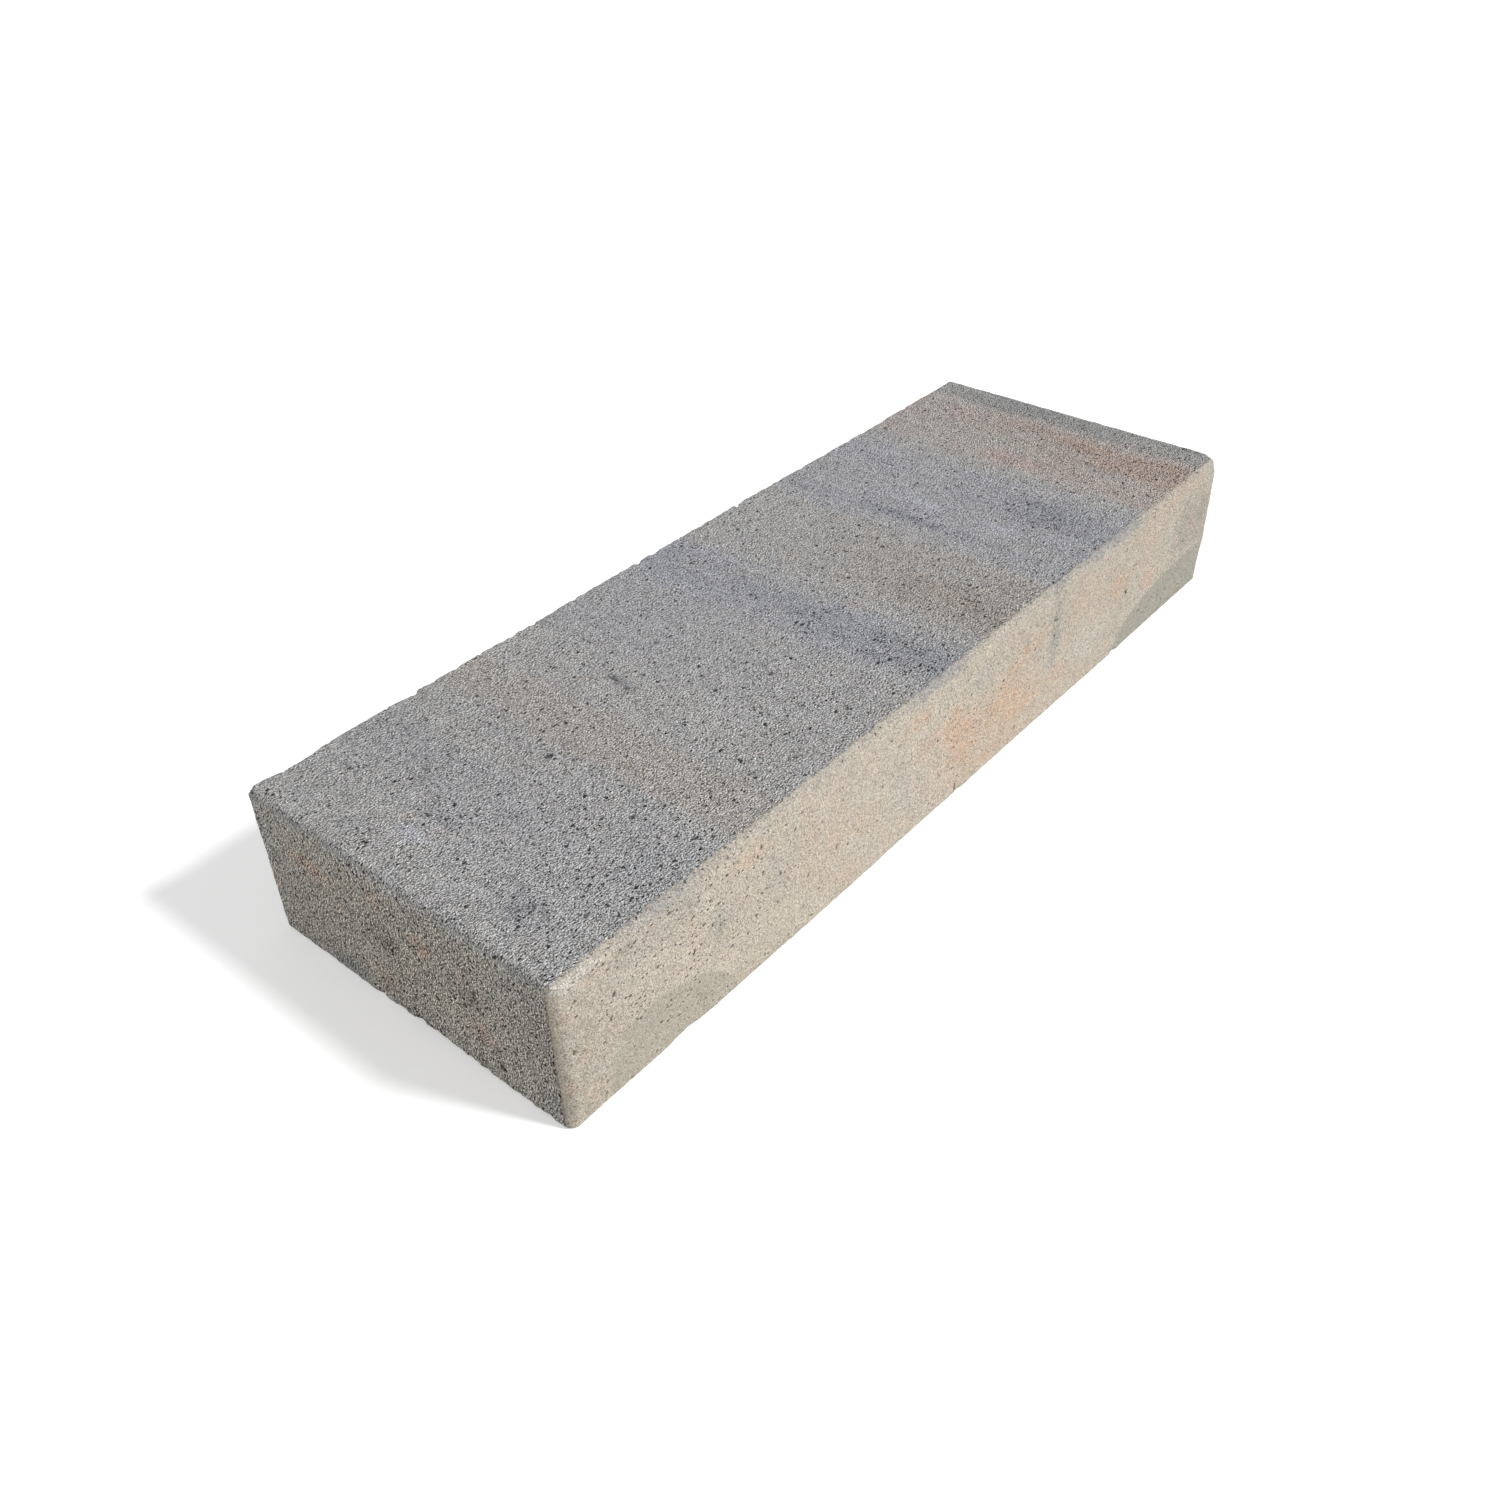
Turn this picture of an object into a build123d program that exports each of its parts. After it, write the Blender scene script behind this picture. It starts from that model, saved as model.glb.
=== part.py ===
from build123d import *
import os
from math import hypot, sqrt

# Block step of cast stone: one solid block that makes one step of a garden stair.
# Lengths are millimetres. X runs along the step from its left end to its right end,
# the riser that shows faces -Y, and Z is up.
# The origin lies under the middle of the block, on the ground.

# The block between its outermost faces
step_length = 1000.0
tread_depth = 350.0
rise = 150.0

# How far each edge is rounded
front_upright_radius = 11.0     # the upright edges at both ends of the riser
back_upright_radius = 5.0       # the upright edges that the next step hides
front_arris_radius = 8.0        # where the tread meets the riser
end_arris_radius = 6.0          # where the tread meets either end
back_arris_radius = 2.5         # left sharp, because the next step covers it
foot_radius = 3.0               # all round the bed that the block lies on

# Facets dressed into the foot of the riser. Each is a flat hollow under an arched ridge:
# half its width and its depth are measured along the foot, its height at the ridge.
left_facet_along = 87.0         # from the left end of the block
left_facet_half_width = 108.0
left_facet_height = 61.0
left_facet_depth = 1.6

tail_facet_along = 195.0        # runs on from the left facet, lower and flatter
tail_facet_half_width = 85.0
tail_facet_height = 17.0
tail_facet_depth = 0.6

middle_facet_along = 630.0      # from the left end of the block
middle_facet_half_width = 130.0
middle_facet_height = 52.0
middle_facet_depth = 0.9

right_facet_half_width = 245.0  # its ridge is still rising where the block ends
right_facet_height = 72.0
right_facet_depth = 1.3

# Spalls: bites that broke out of the sharp edges when the block left its mould.
# Each has its place along the edge, half its length and its depth.
back_spalls = (             # along the back of the tread, from the left end
    (48.0, 29.0, 2.8),
    (161.0, 8.0, 1.8),
    (273.0, 7.0, 1.3),
    (842.0, 28.0, 1.8),
)
left_foot_spalls = (        # along the foot of the left end, from the riser
    (26.0, 5.0, 1.6),
    (148.0, 42.0, 2.4),
)
front_foot_spalls = (       # along the foot of the riser, from the left end
    (125.0, 20.0, 1.4),
    (505.0, 4.0, 2.2),
    (801.0, 6.0, 1.6),
)

# How far a shaping profile runs on past the block
overrun = 20.0


def rounded_rectangle(width, height, corner_radii):
    # A rectangle on the origin whose corners each have their own radius, in the order
    # low left, low right, top right, top left. A radius of 0 leaves a corner sharp.
    outline = Rectangle(width, height)
    sides = ((-1, -1), (1, -1), (1, 1), (-1, 1))
    for (side_x, side_y), radius in zip(sides, corner_radii):
        place = Vector(side_x * width / 2, side_y * height / 2)
        corner = outline.vertices().sort_by_distance(place)[0]
        if radius > 0:
            outline = fillet(corner, radius)
    return outline


def plain_block():
    # What the view from above, the section across the tread and the view of the riser
    # all have in common, with the foot rounded last
    front, back = front_upright_radius, back_upright_radius
    seen_from_above = rounded_rectangle(step_length, tread_depth, (front, front, back, back))
    block = extrude(seen_from_above, rise)

    height = rise + overrun
    lift = Pos(0, rise - height / 2)
    across = rounded_rectangle(tread_depth, height, (0, 0, back_arris_radius, front_arris_radius))
    block &= extrude(Plane.YZ * lift * across, step_length / 2 + overrun, both=True)
    along = rounded_rectangle(step_length, height, (0, 0, end_arris_radius, end_arris_radius))
    block &= extrude(Plane.XZ * lift * along, tread_depth / 2 + overrun, both=True)

    foot = block.edges().group_by(Axis.Z)[0]
    return fillet(foot, foot_radius)


def facet(x, half_width, height, depth):
    # The large ball that leaves one facet. It meets the riser in a circle, whose top is
    # the arched ridge and whose middle lies below the ground.
    stand_off = (half_width**2 - depth**2) / (2 * depth)
    rim = (half_width**2 + height**2) / (2 * height)
    middle = Pos(x, -tread_depth / 2 - stand_off, height - rim)
    return middle * Sphere(hypot(rim, stand_off))


def spall(place, outward, half_length, bite):
    # The ball that bites into an edge. "outward" points out of the stone, halfway
    # between the two faces that meet at the edge.
    radius = (half_length**2 + bite**2) / (2 * bite)
    return Pos(place + outward.normalized() * (radius - bite)) * Sphere(radius)


def edge_inset(radius):
    # How far the middle of a rounded edge lies inside each of its two faces
    return radius * (1 - 1 / sqrt(2))


def riser_facets():
    yield facet(
        left_facet_along - step_length / 2,
        left_facet_half_width,
        left_facet_height,
        left_facet_depth,
    )
    yield facet(
        tail_facet_along - step_length / 2,
        tail_facet_half_width,
        tail_facet_height,
        tail_facet_depth,
    )
    yield facet(
        middle_facet_along - step_length / 2,
        middle_facet_half_width,
        middle_facet_height,
        middle_facet_depth,
    )
    yield facet(
        step_length / 2,
        right_facet_half_width,
        right_facet_height,
        right_facet_depth,
    )


def edge_spalls():
    left, front, back = -step_length / 2, -tread_depth / 2, tread_depth / 2
    inset = edge_inset(back_arris_radius)
    for along, half_length, bite in back_spalls:
        place = Vector(left + along, back - inset, rise - inset)
        yield spall(place, Vector(0, 1, 1), half_length, bite)

    inset = edge_inset(foot_radius)
    for along, half_length, bite in left_foot_spalls:
        place = Vector(left + inset, front + along, inset)
        yield spall(place, Vector(-1, 0, -1), half_length, bite)
    for along, half_length, bite in front_foot_spalls:
        place = Vector(left + along, front + inset, inset)
        yield spall(place, Vector(0, -1, -1), half_length, bite)


def block_step():
    block = plain_block()
    for tool in (*riser_facets(), *edge_spalls()):
        block -= tool
    return block


os.makedirs("parts", exist_ok=True)
export_step(block_step(), "parts/step_block.step")
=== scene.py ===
import math
import random
import bmesh
import bpy
from mathutils import Matrix, Vector, kdtree, noise as wobbles


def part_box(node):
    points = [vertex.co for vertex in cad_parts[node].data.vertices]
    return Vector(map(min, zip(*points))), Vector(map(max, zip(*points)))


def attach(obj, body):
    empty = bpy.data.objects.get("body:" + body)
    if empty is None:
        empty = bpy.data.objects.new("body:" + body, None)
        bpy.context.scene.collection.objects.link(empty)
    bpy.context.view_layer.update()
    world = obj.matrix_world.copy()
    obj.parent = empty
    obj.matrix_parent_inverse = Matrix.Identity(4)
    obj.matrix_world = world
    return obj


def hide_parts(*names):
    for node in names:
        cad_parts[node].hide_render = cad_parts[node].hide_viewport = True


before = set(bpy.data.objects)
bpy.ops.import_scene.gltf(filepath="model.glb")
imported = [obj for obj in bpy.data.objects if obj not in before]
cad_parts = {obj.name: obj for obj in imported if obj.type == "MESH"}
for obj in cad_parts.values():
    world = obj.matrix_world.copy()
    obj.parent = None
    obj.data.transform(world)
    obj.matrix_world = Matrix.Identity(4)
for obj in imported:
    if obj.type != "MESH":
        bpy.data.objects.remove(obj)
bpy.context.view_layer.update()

blockLow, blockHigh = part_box("step_block")
leftEnd, riserFace, bed = blockLow
rightEnd, backFace, tread = blockHigh
print("frame loaded, block", [round(v, 3) for v in blockHigh - blockLow])


# Small helpers for node trees

def addNode(tree, kind, inputs=None, output=0, **settings):
    # a socket given as an input is linked, anything else is set as its value
    made = tree.nodes.new(kind)
    for name, value in settings.items():
        setattr(made, name, value)
    for key, value in (inputs or {}).items():
        if isinstance(value, bpy.types.NodeSocket):
            tree.links.new(value, made.inputs[key])
        else:
            made.inputs[key].default_value = value
    return made.outputs[output]


def maths(tree, operation, first, second=0.0, clamp=False):
    return addNode(tree, "ShaderNodeMath", {0: first, 1: second}, operation=operation, use_clamp=clamp)


def times(tree, first, second, clamp=False):
    return maths(tree, "MULTIPLY", first, second, clamp)


def plus(tree, first, second):
    return maths(tree, "ADD", first, second)


def minus(tree, first, second, clamp=False):
    return maths(tree, "SUBTRACT", first, second, clamp)


def vectorMaths(tree, operation, first, second, output=0):
    return addNode(tree, "ShaderNodeVectorMath", {0: first, 1: second}, output, operation=operation)


def ramp(tree, value, start, end, low=0.0, high=1.0):
    # low before start, high after end, with a soft step between them
    inputs = {"Value": value, "From Min": start, "From Max": end, "To Min": low, "To Max": high}
    return addNode(tree, "ShaderNodeMapRange", inputs, interpolation_type="SMOOTHSTEP")


def noise(tree, place, size, detail=2.0, roughness=0.5, output=0):
    # size is the width of one blob in metres
    inputs = {"Vector": place, "Scale": 1 / size, "Detail": detail, "Roughness": roughness}
    return addNode(tree, "ShaderNodeTexNoise", inputs, output)


def cells(tree, place, size, output="Distance"):
    return addNode(tree, "ShaderNodeTexVoronoi", {"Vector": place, "Scale": 1 / size}, output)


def stretched(tree, place, amounts):
    return addNode(tree, "ShaderNodeMapping", {"Vector": place, "Scale": amounts})


def shifted(tree, place, amounts):
    return addNode(tree, "ShaderNodeMapping", {"Vector": place, "Location": amounts})


def axes(tree, vector):
    split = tree.nodes.new("ShaderNodeSeparateXYZ")
    tree.links.new(vector, split.inputs[0])
    return split.outputs


def joined(tree, x, y, z=0.0):
    return addNode(tree, "ShaderNodeCombineXYZ", {0: x, 1: y, 2: z})


def mixColours(tree, amount, under, over, blend="MIX"):
    made = tree.nodes.new("ShaderNodeMix")
    made.data_type = "RGBA"
    made.blend_type = blend
    for socket, value in ((made.inputs[0], amount), (made.inputs[6], under), (made.inputs[7], over)):
        if isinstance(value, bpy.types.NodeSocket):
            tree.links.new(value, socket)
        else:
            socket.default_value = value
    return made.outputs[2]


def paint(red, green, blue):
    # a colour as a screen shows it, 0 to 255, as Blender's linear colour
    return tuple(((v / 255 + 0.055) / 1.055) ** 2.4 for v in (red, green, blue)) + (1.0,)


# The camera stands off the left front corner and looks down on the tread

cameraView = {
    "eye": (-0.90573, -0.71372, 0.85179),
    "aim": (-0.06704, 0.02019, 0.0),
    "roll": -1.985,         # degrees about the line of sight
    "lens": 34.38,
}


def standCamera(view):
    camera = bpy.data.objects.new("camera", bpy.data.cameras.new("camera"))
    bpy.context.scene.collection.objects.link(camera)
    camera.data.lens = view["lens"]
    camera.data.sensor_width = 36.0
    camera.data.sensor_fit = "HORIZONTAL"
    eye, aim = Vector(view["eye"]), Vector(view["aim"])
    turn = (aim - eye).to_track_quat("-Z", "Y").to_matrix().to_4x4()
    turn = turn @ Matrix.Rotation(math.radians(view["roll"]), 4, "Z")
    camera.matrix_world = Matrix.Translation(eye) @ turn
    bpy.context.scene.camera = camera


standCamera(cameraView)
print("camera stands")


# Light: one broad soft lamp from the front right, level sky light, a pale floor

studio = {
    "lampFrom": (0.30, -0.66, 0.68),
    "lampStrength": 3.1,
    "lampSoftness": 9.0,     # degrees across
    "skyStrength": 0.48,
    "floorColour": (0.72, 0.72, 0.72),
    "floorGlow": 0.42,        # lifts the lit floor to white where the camera sees it
    "floorSize": 24.0,
}


def cameraRays(tree):
    path = tree.nodes.new("ShaderNodeLightPath")
    seen = maths(tree, "MAXIMUM", path.outputs["Is Camera Ray"], path.outputs["Is Glossy Ray"])
    return maths(tree, "MAXIMUM", seen, path.outputs["Is Transmission Ray"])


def lightStudio(light):
    lamp = bpy.data.objects.new("softLamp", bpy.data.lights.new("softLamp", "SUN"))
    bpy.context.scene.collection.objects.link(lamp)
    lamp.data.energy = light["lampStrength"]
    lamp.data.angle = math.radians(light["lampSoftness"])
    lamp.rotation_euler = Vector(light["lampFrom"]).to_track_quat("Z", "Y").to_euler()

    world = bpy.data.worlds.new("studioSky")
    bpy.context.scene.world = world
    world.use_nodes = True
    tree = world.node_tree
    tree.nodes.clear()
    strength = ramp(tree, cameraRays(tree), 0.0, 1.0, light["skyStrength"], 1.0)
    sky = addNode(tree, "ShaderNodeBackground", {"Color": (1, 1, 1, 1), "Strength": strength})
    addNode(tree, "ShaderNodeOutputWorld", {"Surface": sky}, output=slice(0))


def layFloor(light):
    half = light["floorSize"] / 2
    sheet = bpy.data.meshes.new("floor")
    corners = [(-half, -half, bed), (half, -half, bed), (half, half, bed), (-half, half, bed)]
    sheet.from_pydata(corners, [], [(0, 1, 2, 3)])
    floor = bpy.data.objects.new("floor", sheet)
    bpy.context.scene.collection.objects.link(floor)
    material = bpy.data.materials.new("paleFloor")
    material.use_nodes = True
    tree = material.node_tree
    tree.nodes.clear()
    matt = addNode(tree, "ShaderNodeBsdfDiffuse", {"Color": (*light["floorColour"], 1)})
    glow = times(tree, cameraRays(tree), light["floorGlow"])
    glow = addNode(tree, "ShaderNodeEmission", {"Strength": glow})
    both = addNode(tree, "ShaderNodeAddShader", {0: matt, 1: glow})
    addNode(tree, "ShaderNodeOutputMaterial", {"Surface": both}, output=slice(0))
    sheet.materials.append(material)


lightStudio(studio)
layFloor(studio)
print("studio lit")


# The block's skin: a closed grid that is drawn onto the block, finer at its edges

skinGrid = {
    "step": 0.0036,
    "edgeStep": 0.0015,
    "edgeZone": 0.012,
    "bedRing": 3,            # rows under the block before its flat bed
    "ease": 0.5,             # how strongly the facets' edges are eased, and how often
    "easeRounds": 2,
}


def gridLines(low, high, grid):
    rows = round(grid["edgeZone"] / grid["edgeStep"])
    edge = [i * grid["edgeStep"] for i in range(rows)]
    inner = high - low - 2 * grid["edgeZone"]
    count = round(inner / grid["step"])
    middle = [grid["edgeZone"] + inner * i / count for i in range(count + 1)]
    return [low + v for v in edge + middle] + [high - v for v in reversed(edge)]


def skinFaces(grid):
    xs, ys, zs = (gridLines(blockLow[a], blockHigh[a], grid) for a in range(3))
    nx, ny, nz = len(xs) - 1, len(ys) - 1, len(zs) - 1
    numbers, points, faces = {}, [], []

    def at(i, j, k):
        if (i, j, k) not in numbers:
            numbers[i, j, k] = len(points)
            points.append((xs[i], ys[j], zs[k]))
        return numbers[i, j, k]

    for k in range(nz):
        for i in range(nx):
            faces.append((at(i, 0, k), at(i + 1, 0, k), at(i + 1, 0, k + 1), at(i, 0, k + 1)))
            faces.append((at(i, ny, k), at(i, ny, k + 1), at(i + 1, ny, k + 1), at(i + 1, ny, k)))
        for j in range(ny):
            faces.append((at(0, j, k), at(0, j, k + 1), at(0, j + 1, k + 1), at(0, j + 1, k)))
            faces.append((at(nx, j, k), at(nx, j + 1, k), at(nx, j + 1, k + 1), at(nx, j, k + 1)))
    ring = grid["bedRing"]
    for i in range(nx):
        for j in range(ny):
            faces.append((at(i, j, nz), at(i + 1, j, nz), at(i + 1, j + 1, nz), at(i, j + 1, nz)))
            if not (ring <= i < nx - ring and ring <= j < ny - ring):
                faces.append((at(i, j, 0), at(i, j + 1, 0), at(i + 1, j + 1, 0), at(i + 1, j, 0)))
    # the flat bed inside the ring is one face
    rim = [(ring, j) for j in range(ring, ny - ring)] + [(i, ny - ring) for i in range(ring, nx - ring)]
    rim += [(nx - ring, j) for j in range(ny - ring, ring, -1)] + [(i, ring) for i in range(nx - ring, ring, -1)]
    faces.append([at(i, j, 0) for i, j in rim])
    return points, faces


# Dressed patches at the foot of the riser, in metres. Each lies under an arched ridge with
# its top so far from the left end, and reaches so far to the left and the right of it.

# their colours are partly the stone's own and partly painted shade, as the facets face a little downwards
facets = [
    {"top": 0.040, "height": 0.022, "reach": (0.040, 0.060), "arch": (4.0, 2.0), "deeper": 0.0016},
    {"top": 0.195, "height": 0.017, "reach": (0.085, 0.085), "arch": (2.0, 2.0), "deeper": 0.0,
     "colour": (188, 180, 165), "amount": 0.45},
    {"top": 0.095, "height": 0.061, "reach": (0.053, 0.090), "arch": (3.5, 1.7), "deeper": 0.0011,
     "colour": (183, 176, 161), "amount": 0.90},
    {"top": 0.440, "height": 0.030, "reach": (0.075, 0.075), "arch": (2.0, 2.0), "deeper": 0.0012},
    {"top": 0.630, "height": 0.052, "reach": (0.130, 0.130), "arch": (2.0, 2.0), "deeper": 0.0010,
     "colour": (204, 184, 164), "amount": 0.20},
    {"top": 0.972, "height": 0.053, "reach": (0.178, 0.178), "arch": (2.5, 2.5), "deeper": 0.0023,
     "colour": (167, 163, 152), "amount": 0.85},
]
facetFray = 0.0018       # how soft the edge of their colour is
facetZone = 0.006        # only the skin this near to the riser is pressed

# Pores and chips are pressed into the skin, which is cut finer round each of them.
# Lists of places are in millimetres, from the left front foot of the block. All other
# lengths are in metres. A pore has its place on a face, half width, half length and depth.

pores = {
    "tread": [       # along the block, back from the riser
        (180, 190, 4.2, 3.0, 1.8), (166, 84, 3.0, 2.4, 1.4),
        (186, 91, 2.2, 2.0, 1.2), (177, 30, 3.4, 2.6, 1.6),
        (188, 20, 2.2, 2.4, 1.3), (291, 226, 1.6, 8.0, 1.0),
        (288, 206, 3.0, 2.8, 1.2), (380, 122, 2.8, 2.2, 1.3),
        (380, 40, 2.6, 2.4, 1.2), (386, 22, 2.4, 1.8, 1.1),
        (842, 332, 3.2, 2.6, 1.4), (765, 158, 3.0, 2.0, 1.2),
        (82, 17, 2.6, 2.0, 1.2), (68, 35, 2.4, 2.2, 1.1),
        (52, 71, 2.6, 2.0, 1.0), (70, 209, 2.2, 3.0, 1.0),
        (88, 157, 2.4, 2.0, 1.1), (615, 75, 2.2, 1.8, 1.0),
        (725, 25, 2.4, 1.8, 1.1), (684, 212, 2.2, 4.0, 1.0),
        (686, 186, 2.0, 3.6, 0.9), (680, 160, 2.2, 2.4, 1.0),
    ],
    "riser": [       # along the block, above the ground
        (56, 101, 1.8, 3.2, 1.6), (20, 124, 1.5, 2.4, 1.2),
        (140, 78, 1.4, 2.8, 1.4), (116, 134, 2.4, 2.0, 1.3),
        (13, 78, 1.7, 2.4, 1.3), (40, 21, 1.4, 2.6, 1.3),
        (160, 114, 1.4, 2.0, 1.2), (61, 24, 1.3, 1.6, 1.0),
        (50, 80, 1.4, 2.0, 1.2), (77, 131, 2.0, 1.6, 0.9),
        (161, 89, 1.8, 2.0, 1.0), (170, 82, 1.7, 1.6, 1.0),
        (664, 108, 1.6, 3.0, 0.8), (661, 82, 1.6, 2.4, 0.8),
        (668, 124, 1.4, 2.2, 0.7), (498, 8, 1.3, 6.0, 2.0),
        (592, 98, 1.8, 1.8, 1.1), (810, 71, 2.2, 2.0, 1.4),
    ],
    "end": [         # back from the riser, above the ground
        (72, 20, 4.0, 3.0, 1.8), (212, 78, 3.0, 3.0, 0.8),
        (197, 70, 3.0, 2.8, 0.8), (92, 82, 3.0, 3.4, 1.0),
    ],
    "chance": {"tread": 60, "riser": 30, "end": 24, "back": 24},     # more of them, at random
    "chanceWidth": (0.0009, 0.0019),
    "chanceTall": (0.8, 1.6),          # their height, in widths
    "chanceDepth": 0.6,                # their depth, in half widths
    "margin": 0.012,
    "through": 0.003,                  # how far a pore is felt behind its face
    "raggedness": 0.45,
    "cuts": 3,
    "seed": 11,
}

# Chips at known places: x, y, z, half length and depth

bites = [
    (34, 350, 150, 4.0, 2.6), (170, 350, 150, 5.0, 2.8),
    (284, 350, 150, 8.0, 1.8), (310, 350, 150, 5.0, 2.4),
    (330, 350, 150, 16.0, 0.5), (450, 350, 150, 4.5, 1.6),
    (472, 350, 150, 4.0, 1.2), (600, 350, 150, 4.0, 3.4),
    (705, 350, 150, 7.0, 1.0), (750, 350, 150, 5.5, 1.0),
    (786, 350, 150, 18.0, 1.2), (820, 350, 150, 7.0, 3.4),
    (853, 350, 150, 8.0, 2.8), (900, 350, 150, 5.0, 3.0),
    (965, 350, 150, 30.0, 0.9), (2, 350, 150, 5.0, 2.6),
    (0, 172, 4, 6.0, 6.4), (0, 150, 2, 4.0, 1.6),
    (0, 95, 1, 4.0, 2.4), (0, 195, 1, 7.0, 1.8),
    (0, 128, 0, 8.0, 1.4), (0, 108, 0, 9.0, 1.6),
    (0, 220, 1, 5.0, 2.8), (0, 24, 0, 4.0, 1.2),
    (0, 288, 1, 12.0, 0.8), (800, 0, 0, 6.0, 1.2),
]
biteWidth = (0.0035, 0.7)     # half the width of each: so much, and so many depths more

chips = {                     # how many more to a metre of each edge, and the greatest depth
    "back": (58, 0.0017),
    "foot": (46, 0.0017),
    "endFoot": (46, 0.0034),  # the ends crumbled most where they meet the bed
    "front": (14, 0.0009),
    "sides": (22, 0.0010),
    "uprights": (26, 0.0009),
    "halfWidth": (0.0016, 0.0034),
    "halfLength": (0.0014, 0.0036),
    "depthShare": (0.25, 1.0),
    "margin": 0.004,
    "raggedness": 0.60,
    "cuts": 1,
    "seed": 4,
}
press = {                     # the shape of a pore or a chip, in its own half sizes
    "reach": 1.3,
    "rim": 1.25,
    "flank": 0.85,
    "raggedWidth": 0.0022,
    "widest": 0.030,          # none reaches further than this, in metres
    "margin": 0.002,
    "cutMargin": 0.003,       # how far round each the skin is cut finer
    "cutSlack": 0.0018,
    "shortestEdge": 0.0012,   # edges of the skin under this length aren't cut
}


def poreMarks(wanted):
    # place, half sizes and depth of every pore
    dice = random.Random(wanted["seed"])
    marks = []
    through = wanted["through"]

    def mark(face, u, v, halfU, halfV, depth, far=False):
        if face == "tread":
            place, sizes = (leftEnd + u, riserFace + v, tread), (halfU, halfV, through)
        elif face == "riser":
            place, sizes = (leftEnd + u, backFace if far else riserFace, bed + v), (halfU, through, halfV)
        else:
            place, sizes = (rightEnd if far else leftEnd, riserFace + u, bed + v), (through, halfU, halfV)
        marks.append((Vector(place), Vector(sizes), depth))

    for face in ("tread", "riser", "end"):
        for row in wanted[face]:
            mark(face, *(v / 1000 for v in row))
    length, width, height = blockHigh - blockLow
    spans = {"tread": (length, width), "riser": (length, height), "end": (width, height)}
    spans["back"] = spans["riser"]
    margin = wanted["margin"]
    for face, count in wanted["chance"].items():
        for i in range(count):
            u, v = (dice.uniform(margin, span - margin) for span in spans[face])
            half = dice.uniform(*wanted["chanceWidth"])
            tall = half * dice.uniform(*wanted["chanceTall"])
            far = face == "back" or face == "end" and i % 2 == 0
            mark("riser" if face == "back" else face, u, v, half, tall, half * wanted["chanceDepth"], far)
    return marks


def chipMarks(wanted):
    # place, half sizes and depth of every chip along the twelve edges
    dice = random.Random(wanted["seed"])
    marks = []
    for row in bites:
        x, y, z, half, depth = (v / 1000 for v in row)
        across = biteWidth[0] + biteWidth[1] * depth
        sizes = Vector((across, across, across))
        sizes[1 if x == 0 else 0] = half
        marks.append((blockLow + Vector((x, y, z)), sizes, depth))
    corners = [(blockLow[a], blockHigh[a]) for a in range(3)]
    for axis in range(3):
        others = [a for a in range(3) if a != axis]
        for one in (0, 1):
            for two in (0, 1):
                sides = {others[0]: one, others[1]: two}
                if axis == 2:
                    kind = "uprights"
                elif sides[2] == 0:
                    kind = "endFoot" if axis == 1 else "foot"
                else:
                    kind = "sides" if axis == 1 else ("back" if sides[1] else "front")
                perMetre, deepest = wanted[kind]
                low, high = corners[axis]
                for i in range(round(perMetre * (high - low))):
                    place = Vector(corners[a][sides.get(a, 0)] for a in range(3))
                    place[axis] = dice.uniform(low + wanted["margin"], high - wanted["margin"])
                    across = dice.uniform(*wanted["halfWidth"])
                    sizes = Vector((across, across, across))
                    sizes[axis] = dice.uniform(*wanted["halfLength"])
                    marks.append((place, sizes, deepest * dice.uniform(*wanted["depthShare"]) ** 1.5))
    return marks


def pointsNear(mesh, marks, margin):
    found = kdtree.KDTree(len(mesh.vertices))
    for vertex in mesh.vertices:
        found.insert(vertex.co, vertex.index)
    found.balance()
    for place, sizes, depth in marks:
        reach = min(max(sizes) * press["reach"] + margin, press["widest"])
        yield place, sizes, depth, found.find_range(place, reach)


def inReach(point, place, sizes, slack):
    return all(abs(point[a] - place[a]) < sizes[a] * press["reach"] + slack for a in range(3))


def cutFiner(mesh, marks, cuts):
    near = set()
    for place, sizes, depth, points in pointsNear(mesh, marks, press["cutMargin"]):
        near.update(index for point, index, far in points if inReach(point, place, sizes, press["cutSlack"]))
    work = bmesh.new()
    work.from_mesh(mesh)
    work.verts.ensure_lookup_table()
    edges = {edge for index in near for edge in work.verts[index].link_edges}
    edges = [edge for edge in sorted(edges, key=lambda e: e.index) if edge.calc_length() > press["shortestEdge"]]
    bmesh.ops.subdivide_edges(work, edges=edges, cuts=cuts, use_grid_fill=True)
    work.to_mesh(mesh)
    work.free()


def pressMarks(mesh, name, marks, raggedness):
    # how deep each point lies in a pore or a chip, kept with the mesh for the relief
    depths = [0.0] * len(mesh.vertices)
    for place, sizes, depth, points in pointsNear(mesh, marks, press["margin"]):
        for point, index, far in points:
            out = Vector((point[a] - place[a]) / sizes[a] for a in range(3)).length
            out *= 1 + raggedness * wobbles.noise(point / press["raggedWidth"])
            fall = min(max((press["rim"] - out) / press["flank"], 0.0), 1.0)
            depths[index] = max(depths[index], depth * fall * fall * (3 - 2 * fall))
    mesh.attributes.new(name, "FLOAT", "POINT").data.foreach_set("value", depths)


def pressFacets(mesh, wanted):
    # the dressed facets, each a little deeper than the block has it
    depths = [0.0] * len(mesh.vertices)
    for vertex in mesh.vertices:
        if vertex.co.y < riserFace + facetZone:
            for facet in wanted:
                along = vertex.co.x - leftEnd - facet["top"]
                side = 0 if along < 0 else 1
                up = max(vertex.co.z - bed, 0.0) / facet["height"]
                bowl = 1 - (abs(along) / facet["reach"][side]) ** facet["arch"][side] - up ** 2
                depths[vertex.index] = max(depths[vertex.index], facet["deeper"] * bowl)
    mesh.attributes.new("facet", "FLOAT", "POINT").data.foreach_set("value", depths)


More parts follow.
